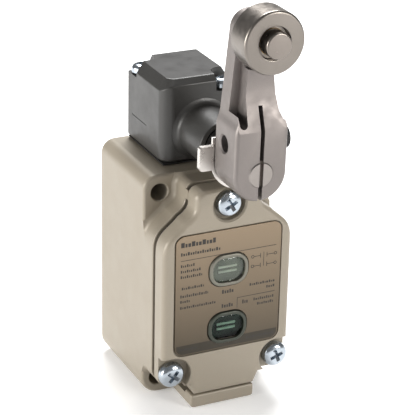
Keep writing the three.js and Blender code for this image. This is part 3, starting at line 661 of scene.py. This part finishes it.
def make_cover():
    cover = slab("cover", cover_outline(), COVER_BACK_Y, FRONT_Y, 0.25, 1.6, 7)
    pocket_back = mirrored([(9, -27), (9.4, -16), (17.6, -14.6), (17.6, 14), (15.6, 18.4), (8, 22.6)])
    tools = [through_front(pocket_back, COVER_BACK_Y + 1, FRONT_Y + 2.6)]
    tools += [pocket(notch_outline(side), LOW_SEAT_Y, FRONT_Y, 0.5, 2) for side in (-1, 1)]
    tools.append(hole("y", 4.95, TOP_SEAT_Y, FRONT_Y, (0, 0, TOP_SCREW_Z), 0.5, 56))
    for x, z in COVER_SCREWS:
        tools.append(hole("y", 2.3, COVER_BACK_Y + 1, FRONT_Y, (x, 0, z), 0.01, 24))
    tools.append(pocket(grown(LABEL_OUTLINE, 0.35), FRONT_Y + 0.6, FRONT_Y, 0.15))
    for z in (-WINDOW_Z, WINDOW_Z):
        tools.append(through_front(window_outline(z, 0.2), COVER_BACK_Y, FRONT_Y - 1))
    cut(cover, *tools)
    show(cover, "cover_casting", "housing", LOOKS["housing_paint"], ["cover"])

    seal = slab("seal", grown(cover_outline(), -0.9), RIM_Y + 0.65, COVER_BACK_Y + 0.05)
    tools = [through_front(pocket_back, RIM_Y + 2, COVER_BACK_Y - 1)]
    for x, z in COVER_SCREWS:
        tools.append(hole("y", 2.4, RIM_Y + 2, COVER_BACK_Y, (x, 0, z), 0.01, 24))
    cut(seal, *tools)
    show(seal, "cover_seal", "housing", LOOKS["seal_rubber"], ["cover_gasket"])


def make_nameplate():
    front = LABEL_LOW.y
    label = slab("nameplate", LABEL_OUTLINE, LABEL_HIGH.y, front, 0, 0.12, 3)
    cut(label, *[through_front(window_outline(z, 0.25), FRONT_Y + 1, FRONT_Y - 1)
                 for z in (-WINDOW_Z, WINDOW_Z)])
    show(label, "nameplate_sheet", "housing", LOOKS["label_metal"], ["nameplate"])

    band_top = LABEL_LOW.z + 3.3
    band = loft("tool", [at_y(rounded_rect(-LABEL_W + 0.5, LABEL_W - 0.5, LABEL_LOW.z + 0.5, band_top,
                                           2.0, 0.1), y) for y in (front + 0.1, front - 0.02)])
    show(band, "nameplate_band", "housing", LOOKS["label_band"])
    return make_print(front)


def bar(x0, x1, z0, z1, front, proud=0.03):
    """A printed stroke, slightly proud of the label."""
    return block(x0, x1, front - proud, front + 0.1, z0, z1)


def ring(x, z, outer, inner, front, proud=0.03):
    """A printed circle, slightly proud of the label."""
    profile = [(inner, -front - 0.1), (outer, -front - 0.1), (outer, -front + proud),
               (inner, -front + proud), (inner, -front - 0.1)]
    return turned("tool", profile, "y", (x, 0, z), 24)


def dashes(x0, x1, z, height, pattern, front):
    """A line of small print as plain strokes, as wide as the pattern says, in turn."""
    marks = []
    x = x0
    i = 0
    while x < x1 - 0.2:
        width = min(pattern[i % len(pattern)] * 0.55, x1 - x)
        tall = height * (1.0 if i % 3 == 0 else 0.72)
        marks.append(bar(x, x + width, z - height / 2, z - height / 2 + tall, front))
        x += width + 0.26
        i += 1
    return marks


def make_print(front):
    """Everything printed on the nameplate: rules, lines of plain marks and a contact sign."""
    marks = []
    left = -LABEL_W + 1.5
    right = LABEL_W - 1.5
    marks.append(bar(left, right, 14.1, 14.26, front))
    marks.append(bar(2.9, right, -0.5, -0.34, front))
    marks.append(bar(2.9, 3.06, -3.6, -0.4, front))
    marks += dashes(left, left + 10.6, 19.0, 1.5, (1.9, 1.1, 1.5), front)
    marks += dashes(left, left + 12.4, 16.2, 1.0, (0.8, 0.9, 0.6, 1.1), front)
    for row, reach in enumerate((4.2, 6.4, 6.8)):
        marks += dashes(left, left + reach, 12.6 - 1.7 * row, 0.85, (0.8, 0.5, 0.7), front)
    marks += dashes(left + 0.4, left + 7.4, 5.6, 0.8, (0.9, 0.5, 0.7), front)
    marks += dashes(left, left + 8.6, 3.2, 0.9, (0.7, 0.9, 0.5), front)
    marks += dashes(left, left + 2.9, 1.5, 0.8, (0.8, 0.6), front)
    marks += dashes(left, left + 11.4, -0.4, 0.8, (0.8, 0.5, 1.0, 0.6), front)
    marks += dashes(-1.9, 1.9, 2.3, 1.2, (1.0, 0.8), front)
    marks += dashes(-1.9, 1.9, -2.2, 1.2, (0.8, 1.0), front)
    marks += dashes(6.8, right, 3.0, 0.8, (0.8, 0.5, 1.0), front)
    marks += dashes(12.2, right, 1.4, 0.8, (0.7, 0.9), front)
    marks += dashes(4.6, 6.4, -2.0, 1.2, (0.8, 0.6), front)
    marks += dashes(8.2, right, -1.9, 0.8, (0.7, 0.9, 0.6), front)
    marks += dashes(9.4, right, -3.5, 0.8, (0.9, 0.6), front)
    marks += dashes(left, left + 5.6, LABEL_LOW.z + 2.0, 0.9, (0.8, 0.5, 0.7), front)
    marks += dashes(6.2, right, LABEL_LOW.z + 2.0, 0.9, (0.9, 0.6, 0.8), front)
    for z in (11.6, 8.6):
        marks.append(bar(8.0, 10.0, z - 0.08, z + 0.08, front))
        marks.append(bar(12.0, 14.2, z - 0.08, z + 0.08, front))
        marks.append(ring(7.5, z, 0.5, 0.32, front))
        marks.append(ring(14.7, z, 0.5, 0.32, front))
        marks.append(bar(9.9, 10.06, z - 0.7, z + 0.7, front))
        marks.append(bar(11.94, 12.1, z - 0.7, z + 0.7, front))
    marks.append(bar(10.95, 11.1, 8.2, 12.6, front))
    printed = joined("nameplate_print", marks)
    return show(printed, "nameplate_print", "housing", LOOKS["label_ink"])


def make_windows():
    for place, z, rim_look, glass in (("upper", WINDOW_Z, "bezel_upper", "lens_clear"),
                                      ("lower", -WINDOW_Z, "bezel_lower", "lens_dark")):
        bezel_low, bezel_high = box_mm("window_bezel_" + place)
        outline = window_outline(z, 0)
        bezel = slab("bezel", outline, bezel_high.y, bezel_low.y, 0, 0.45, 5)
        cut(bezel, pocket(window_outline(z, -1.1), bezel_high.y + 1, bezel_low.y, 0.15))
        show(bezel, "window_bezel_" + place + "_rim", "housing", LOOKS[rim_look],
             ["window_bezel_" + place])
        lens_low, lens_high = box_mm("window_lens_" + place)
        face = window_outline(z, -1.2)
        lens = slab("lens", face, lens_low.y + 0.9, lens_low.y, 0, 0.6, 6)
        show(lens, "window_lens_" + place + "_dome", "housing", LOOKS[glass],
             ["window_lens_" + place], 50)
        back = slab("insert", face, lens_high.y, lens_low.y + 1.3, 0, 0.1, 2)
        show(back, "window_insert_" + place, "housing", LOOKS["insert_" + place])
        bars = []
        for height in (0.7, -0.75):
            bars.append(block(-2.9, 2.9, lens_low.y + 0.98, lens_low.y + 1.4, z + height - 0.36,
                              z + height + 0.36))
        show(bevelled(joined("bars", bars), 0.12), "window_bars_" + place, "housing",
             LOOKS["light_bar"])


# ------------------------------------------------------------------ screws
def phillips(name, node, axis, body, head_r, head_h, shank_r, turn=0.0):
    """A pan-head screw with a cross recess, in place of a CAD screw."""
    low, high = box_mm(node)
    centre = (low + high) / 2
    if axis == "y":
        seat, tip = -(low.y + head_h), -high.y
        place = (centre.x, 0, centre.z)
    else:
        seat, tip = high.z - head_h, low.z
        place = (centre.x, centre.y, 0)
    top = seat + head_h
    profile = [(0, tip), (shank_r * 0.7, tip), (shank_r, tip + 0.8), (shank_r, seat), (head_r - 0.25, seat),
               (head_r, seat + 0.25)]
    for i in range(9):
        a = math.radians(8 + 82 * i / 8)
        profile.append((head_r * 0.985 * max(0.0, math.cos(a)) ** 0.62,
                        seat + head_h * 0.42 + head_h * 0.58 * math.sin(a)))
    profile[-1] = (0, top)
    screw = turned("screw", profile, axis, place, 48)
    rings = []
    # the recess narrows as it goes down: depth, arm length and half width, the last two per head radius
    for depth, reach, half in ((-0.4, 0.60, 0.155), (0.0, 0.585, 0.15), (0.75, 0.36, 0.11),
                               (1.5, 0.14, 0.07)):
        a, b = head_r * reach, head_r * half
        cross = [(b, -a), (b, -b), (a, -b), (a, b), (b, b), (b, a), (-b, a), (-b, b), (-a, b), (-a, -b),
                 (-b, -b), (-b, -a)]
        rings.append([(x * math.cos(turn) - y * math.sin(turn), x * math.sin(turn) + y * math.cos(turn),
                       top - depth) for x, y in cross])
    tool = loft("tool", rings)
    tool.data.transform(Matrix.Translation(Vector(place) * MM) @ AXES[axis])
    cut(screw, tool)
    return show(screw, name, body, LOOKS["zinc_plate"], [node], 38)


def make_screws():
    for place, turn in (("top", 0.5), ("left", 0.9), ("right", 0.35)):
        node = "cover_screw_" + place
        phillips(node + "_head", node, "y", "housing", 3.8, 2.8, 1.85, turn)
    for place, turn in (("rear", 0.2), ("front", 0.7)):
        node = "head_screw_" + place
        phillips(node + "_head", node, "z", "housing", 3.0, 2.6, 1.7, turn)


# ------------------------------------------------------------------ head
BARREL_Y = -41.3
BUSH_R = 6.0
SHAFT_R = 4.0
SEAT_Z = HEAD_HIGH.z - 4.8
NOTCH_R = 3.5


def make_head():
    plan = rounded_rect(HEAD_LOW.x, HEAD_HIGH.x, HEAD_FRONT_Y, HEAD_REAR_Y, 3.6, 0.9)
    crown = rounded_rect(HEAD_LOW.x + 2.2, HEAD_HIGH.x - 2.2, HEAD_FRONT_Y + 1.7, HEAD_REAR_Y - 2.4, 2.6, 0.6)
    foot_z = HEAD_LOW.z
    top_z = HEAD_HIGH.z
    # the chamfer is shallower along the front
    shoulder = []
    for x, y in plan:
        near = min(1.0, max(0.0, (HEAD_FRONT_Y + 3.6 - y) / 3.6))
        shoulder.append((x, y, top_z - 3.4 + 1.8 * near * near))
    rings = [at_z(grown(plan, -0.4), foot_z), at_z(plan, foot_z + 0.4), shoulder, at_z(crown, top_z)]
    head = bevelled(loft("head", rings), 0.45, 4, 18)
    base_y = -HEAD_FRONT_Y
    barrel = [(0, base_y - 2), (9.2, base_y - 2), (9.2, base_y + 0.02), (8.4, base_y + 0.25),
              (7.85, base_y + 0.8), (7.6, base_y + 1.6), (7.6, -BARREL_Y - 0.7), (7.4, -BARREL_Y - 0.2),
              (6.9, -BARREL_Y), (0, -BARREL_Y)]
    fuse(head, turned("tool", barrel, "y", (0, 0, SHAFT.z), 72))

    hollow_top = 51.5
    tools = [block(-6.2, 6.2, -20.6, -7.9, foot_z - 1, hollow_top)]
    tools.append(block(-5.2, 5.1, -25.6, -20, foot_z - 1, hollow_top))
    tools.append(hole("y", SHAFT_R + 0.3, -4.3, HEAD_FRONT_Y - 0.5, (0, 0, SHAFT.z), 0.01, 40, 1))
    tools.append(hole("y", BUSH_R, HEAD_FRONT_Y - 0.2, BARREL_Y, (0, 0, SHAFT.z), 0.3, 56))
    for x, y in HEAD_SCREWS:
        side = math.copysign(1, x)
        far = 30.0
        # the notch in plan: a round pocket open to the two outer faces of the corner
        if side > 0:
            plan_cut = [(x + far, y + NOTCH_R)] + arc(x, y, NOTCH_R, 90, 180, 12)
            plan_cut += [(x - NOTCH_R, y - far), (x + far, y - far)]
        else:
            plan_cut = [(x - far, y - NOTCH_R)] + arc(x, y, NOTCH_R, -90, 0, 12)
            plan_cut += [(x + NOTCH_R, y + far), (x - far, y + far)]
        tools.append(loft("tool", [at_z(plan_cut, z) for z in (SEAT_Z, top_z + 2)]))
        tools.append(hole("z", 2.0, foot_z - 1, SEAT_Z, (x, y, 0), 0.15, 24, 1))
    # the parting line that the mould leaves on the left side
    tools.append(block(HEAD_LOW.x - 1, HEAD_LOW.x + 0.14, -14.9, -4.7, 43.0, 43.24))
    cut(head, *tools)
    return show(head, "head_casting", "housing", LOOKS["head_paint"], ["head_housing"])


def make_shaft():
    low, high = box_mm("rotary_shaft")
    front = -low.y
    profile = [(0, -high.y), (SHAFT_R - 0.5, -high.y), (SHAFT_R, -high.y + 0.5), (SHAFT_R, front - 3.0),
               (SHAFT_R - 0.35, front - 2.6), (SHAFT_R - 0.35, front - 0.3), (SHAFT_R - 0.65, front),
               (0, front)]
    shaft = turned("shaft", profile, "y", (0, 0, SHAFT.z), 64)
    cut(shaft, block(-0.55, 0.55, low.y - 1, low.y + 1.6, SHAFT.z - 6, SHAFT.z + 6))
    return show(leaned(shaft), "rotary_shaft_turned", "lever", LOOKS["shaft_steel"],
                ["rotary_shaft"])


# ------------------------------------------------------------------ lever
CREASE_Z = SHAFT.z + 12.43
WAIST_Z = SHAFT.z + 15.33
ARM_HALF = 6.9
ARM_TOP_R = 5.1
WEB_Y = HUB_FRONT_Y + 7.2
RIB_Y = HUB_FRONT_Y + 3.3
BOLT_Y = HUB_FRONT_Y + 7.4
BOLT_Z = SHAFT.z + 7.23
BOLT_SEAT_X = 7.0
ROLLER_BACK_Y = box_mm("roller")[1].y


def lever_outline(grow, top_z=None):
    """The lever's outline, upright, or only its hub up to top_z where that is given."""
    hub = HUB_HALF + grow
    foot = arc(0, SHAFT.z, hub, 180, 360, 32)
    if top_z is not None:
        return foot + [(hub, top_z), (-hub, top_z)]
    right = [(hub, CREASE_Z - 1.2)]
    right += curve([(hub, CREASE_Z - 1.2), (hub, CREASE_Z - 0.2), (hub - 0.1, CREASE_Z + 0.5),
                    (hub - 0.4, CREASE_Z + 1.3)], 5)
    right += curve([(hub - 0.4, CREASE_Z + 1.3), (ARM_HALF + 0.1, WAIST_Z - 0.5),
                    (ARM_HALF, WAIST_Z), (ARM_HALF - 0.1, WAIST_Z + 1.3)], 5)
    left = [(-x, z) for x, z in reversed(right)]
    return foot + right + arc(0, ROLLER_Z, ARM_TOP_R, 0, 180, 32) + left


def across_x(profile, x0, x1):
    """A solid from an outline drawn in y and z."""
    return loft("tool", [[(x, y, z) for y, z in profile] for x in (x0, x1)])


def left_groove():
    """The groove at the left of the arm's rib: a round foot that opens out past the arm's edge."""
    rib = 3.7
    foot_r = 1.2
    foot_z = SHAFT.z + 14.6
    out = [(rib, ROLLER_Z + 30), (rib, foot_z + 12), (rib + 0.5, foot_z + 1.2)]
    out += arc(rib + 0.5 + foot_r, foot_z, foot_r, 180, 360, 14)
    out += [(7.3, foot_z + 6.8), (30, foot_z + 6.8), (30, ROLLER_Z + 30)]
    return [(-x, z) for x, z in reversed(out)]


def right_step():
    """The step at the right of the rib, whose edge runs straight down into the hub's corner."""
    return [(4.0, ROLLER_Z + 30), (4.15, SHAFT.z + 26.4), (5.35, SHAFT.z + 17.2), (6.6, SHAFT.z + 14.4),
            (30, SHAFT.z + 14.4), (30, ROLLER_Z + 30)]


def make_lever():
    lever = slab("lever", lever_outline(0), HUB_BACK_Y, HUB_FRONT_Y, 0, 1.2)
    far = 60.0
    high = ROLLER_Z + far
    lean_top = SHAFT.z + 21.4
    side = [(HUB_BACK_Y + 1, SHAFT.z - far), (HUB_BACK_Y + 1, high), (RIB_Y, high), (RIB_Y, lean_top),
            (HUB_FRONT_Y, CREASE_Z), (HUB_FRONT_Y, SHAFT.z - far)]
    common(lever, across_x(side, -far, far))

    front = HUB_FRONT_Y - 1
    tools = [through_front(left_groove(), WEB_Y, front), through_front(right_step(), WEB_Y, front)]
    room = -ROLLER_BACK_Y - 0.3
    tools.append(turned("tool", [(0, room), (9.65, room), (9.65, 90), (0, 90)], "y", (0, 0, ROLLER_Z), 96))
    clear = [(-far, ROLLER_Z - 6), (far, ROLLER_Z - 6), (far, high), (-far, high)]
    around = loft("around", [at_y(clear, y) for y in (WEB_Y, RIB_Y - 1)])
    cut(around, turned("tool", [(0, 0), (4.4, 0), (4.4, 90), (0, 90)], "y", (0, 0, ROLLER_Z), 48))
    tools.append(around)
    tools.append(block(-0.6, 0.6, front, HUB_BACK_Y + 1, SHAFT.z - 12, SHAFT.z + 18.93))
    cut(lever, *tools)
    bevelled(lever, 0.45, 4, 30)

    tools = [hole("y", SHAFT_R + 0.28, HUB_BACK_Y + 1, HUB_FRONT_Y, (0, 0, SHAFT.z), 0.2, 64, 1)]
    tools.append(hole("x", 2.35, 30, -HUB_HALF, (0, BOLT_Y, BOLT_Z), 0.45, 40))
    tools.append(hole("x", 3.6, BOLT_SEAT_X - 0.3, HUB_HALF, (0, BOLT_Y, BOLT_Z), 0.25, 40))
    tools.append(hole("y", 2.8, HUB_BACK_Y + 1, RIB_Y - 0.5, (0, 0, ROLLER_Z), 0.01, 40, 1))
    cut(lever, *tools)
    return show(leaned(lever), "lever_sintered", "lever", LOOKS["sintered_steel"],
                ["lever_arm"], 40)


def make_position_plate():
    high = box_mm("position_plate")[1]
    front = HUB_BACK_Y + 0.3
    sheet = slab("plate", lever_outline(0.8, BOLT_Z), front + 0.8, front, 0.15, 0.15, 3)
    left, foot, top, corner = -12.2, 42.3, 49.3, 1.1
    tab = [(-8.0, foot), (-8.0, top), (left + 0.4, top), (left, top - 0.4)]
    tab += arc(left + corner, foot + corner, corner, 180, 270, 6)
    fuse(sheet, slab("tool", tab[::-1], high.y, front))
    cut(sheet, hole("y", SHAFT_R + 0.3, high.y + 1, front, (0, 0, SHAFT.z), 0.1, 56, 1))
    bevelled(sheet, 0.12, 2, 40)
    return show(leaned(sheet), "position_plate_pressed", "lever", LOOKS["plate_steel"],
                ["position_plate"])


def make_bolt():
    head_r = 3.3
    under = BOLT_SEAT_X
    top = under + 3.9
    tip = under - 12.6
    flutes = 30
    profile = [(0, tip), (1.6, tip), (2.0, tip + 0.4), (2.0, under), (head_r - 0.2, under),
               (head_r, under + 0.2), (head_r, top - 0.5), (head_r - 0.15, top - 0.15),
               (head_r - 0.5, top), (0, top)]
    bolt = turned("bolt", profile, "x", (0, BOLT_Y, BOLT_Z), flutes * 4)
    axis = Vector((0, BOLT_Y, BOLT_Z)) * MM
    for vertex in bolt.data.vertices:
        out = vertex.co - axis
        out.x = 0
        if out.length > (head_r - 0.1) * MM:
            turn = math.atan2(out.z, out.y)
            vertex.co -= out.normalized() * (0.09 * (1 + math.cos(turn * flutes)) * MM)
    socket = [(top - 2.0, 1.62), (top - 0.15, 1.62), (top, 1.8), (top + 1, 1.8)]
    rings = [[(x, BOLT_Y + r * math.cos(math.tau * i / 6), BOLT_Z + r * math.sin(math.tau * i / 6))
              for i in range(6)] for x, r in socket]
    cut(bolt, loft("tool", rings))
    return show(leaned(bolt), "clamp_bolt_knurled", "lever", LOOKS["black_oxide"],
                ["clamp_bolt"])


# ------------------------------------------------------------------ roller
def make_roller():
    low, high = box_mm("roller")
    back, front = -high.y + 0.8, -low.y
    radius = (high.x - low.x) / 2
    bore = 4.1
    recess_r = 4.6
    floor = front - 1.9
    profile = [(bore, back), (radius - 0.55, back), (radius - 0.16, back + 0.16), (radius, back + 0.55),
               (radius, front - 0.75), (radius - 0.1, front - 0.38), (radius - 0.38, front - 0.1),
               (radius - 0.75, front), (recess_r + 0.3, front), (recess_r + 0.08, front - 0.08),
               (recess_r, front - 0.3), (recess_r, floor + 0.15), (recess_r - 0.15, floor), (3.74, floor),
               (3.74, floor - 0.22), (bore, floor - 0.22), (bore, back)]
    wheel = turned("wheel", profile, "y", (0, 0, ROLLER_Z), 96)
    show(leaned(wheel), "roller_wheel", "roller", LOOKS["satin_steel"], ["roller"])

    low, high = box_mm("roller_pin")
    head_r = 3.66
    start, end = -high.y, -low.y
    shoulder = floor + 0.3
    pin_profile = [(0, start), (2.1, start), (2.5, start + 0.4), (2.5, shoulder), (head_r - 0.1, shoulder),
                   (head_r, shoulder + 0.1), (head_r, end - 0.55), (head_r - 0.08, end - 0.25),
                   (head_r - 0.25, end - 0.08), (head_r - 0.55, end), (0, end)]
    pin = turned("pin", pin_profile, "y", (0, 0, ROLLER_Z), 72)
    show(leaned(pin), "roller_pin_turned", "lever", LOOKS["pin_steel"], ["roller_pin"])


# ------------------------------------------------------------------ pieces whose CAD shape stays
def dress_the_rest():
    plain = {
        "seal_rubber": ["head_gasket", "shaft_seal"],
        "brass_plain": ["shaft_bush", "roller_bush", "snap_blade", "contact_closed", "contact_open",
                        "contact_common"],
        "ivory_plastic": ["lamp_holder", "indicator_lamp", "switch_button"],
        "spring_steel": ["lamp_spring_left", "lamp_spring_right", "torsion_spring", "return_spring"],
        "satin_steel": ["cam", "head_plunger"],
        "phenolic": ["switch_case", "switch_front"],
        "zinc_plate": ["switch_screw_left", "switch_screw_right", "earth_screw"],
    }
    for row in ("upper", "lower"):
        for side in ("left", "right"):
            plain["brass_plain"].append(f"terminal_{row}_{side}")
            plain["zinc_plate"].append(f"terminal_screw_{row}_{side}")
    for slot, nodes in plain.items():
        for node in nodes:
            dress_cad(node, slot, "shaft_steel" if slot == "satin_steel" else None)


# ------------------------------------------------------------------ floor, light and camera
def make_floor():
    size = 6.0
    z = BODY_FOOT_Z * MM - 0.0002
    mesh = bpy.data.meshes.new("floor")
    mesh.from_pydata([(-size, -size, z), (size, -size, z), (size, size, z), (-size, size, z)], [],
                     [(0, 1, 2, 3)])
    floor = bpy.data.objects.new("floor", mesh)
    bpy.context.scene.collection.objects.link(floor)
    material = bpy.data.materials.new("floor_paper")
    material.use_nodes = True
    shader = material.node_tree.nodes["Principled BSDF"]
    shader.inputs["Base Color"].default_value = (0.9, 0.9, 0.9, 1)
    shader.inputs["Emission Color"].default_value = (1, 1, 1, 1)
    shader.inputs["Emission Strength"].default_value = 0.25
    shader.inputs["Roughness"].default_value = 0.9
    shader.inputs["Specular IOR Level"].default_value = 0.1
    mesh.materials.append(material)


def area_light(name, place, target, size, watts, color=(1, 1, 1)):
    """A rectangular light at a place, in metres, that faces a target."""
    light = bpy.data.lights.new(name, "AREA")
    light.shape = "RECTANGLE"
    light.size, light.size_y = size
    light.energy = watts
    light.color = color
    lamp = bpy.data.objects.new(name, light)
    lamp.location = place
    lamp.rotation_mode = "QUATERNION"
    lamp.rotation_quaternion = (Vector(target) - Vector(place)).to_track_quat("-Z", "Y")
    bpy.context.scene.collection.objects.link(lamp)


def make_light():
    middle = (0, -0.025, 0.02)
    area_light("side_left", (-0.85, 0.02, 0.16), middle, (0.7, 0.35), 7.4, (1.0, 0.985, 0.96))
    area_light("front_right", (0.5, -0.85, 0.32), middle, (0.3, 0.4), 5.4, (1.0, 0.98, 0.95))
    area_light("top_behind", (0.25, 0.5, 0.85), middle, (0.6, 0.4), 15.0)
    world = bpy.data.worlds.new("studio")
    bpy.context.scene.world = world
    world.use_nodes = True
    sky = world.node_tree.nodes["Background"]
    sky.inputs["Color"].default_value = (1, 1, 1, 1)
    sky.inputs["Strength"].default_value = 0.24
    bpy.context.scene.view_settings.view_transform = "Standard"


def make_camera():
    azimuth = math.radians(25.66)
    elevation = math.radians(23.64)
    roll = math.radians(1.29)
    back = Vector((-math.sin(azimuth) * math.cos(elevation), -math.cos(azimuth) * math.cos(elevation),
                   math.sin(elevation)))
    level = Vector((math.cos(azimuth), -math.sin(azimuth), 0))
    upright = back.cross(level)
    right = level * math.cos(roll) + upright * math.sin(roll)
    up = upright * math.cos(roll) - level * math.sin(roll)
    camera = bpy.data.cameras.new("camera")
    camera.lens = 156.94
    camera.sensor_width = 36.0
    camera.shift_x = 0.0128
    camera.shift_y = -0.0040
    camera.clip_start = 0.01
    camera.clip_end = 20.0
    stand = bpy.data.objects.new("camera", camera)
    turn = Matrix((right, up, back)).transposed().to_4x4()
    stand.matrix_world = Matrix.Translation((-0.20645, -0.45768, 0.22993)) @ turn
    bpy.context.scene.collection.objects.link(stand)
    bpy.context.scene.camera = stand


make_camera()
make_light()
make_floor()
make_body()
make_cover()
make_nameplate()
make_windows()
make_screws()
make_head()
make_shaft()
make_lever()
make_position_plate()
make_bolt()
make_roller()
dress_the_rest()
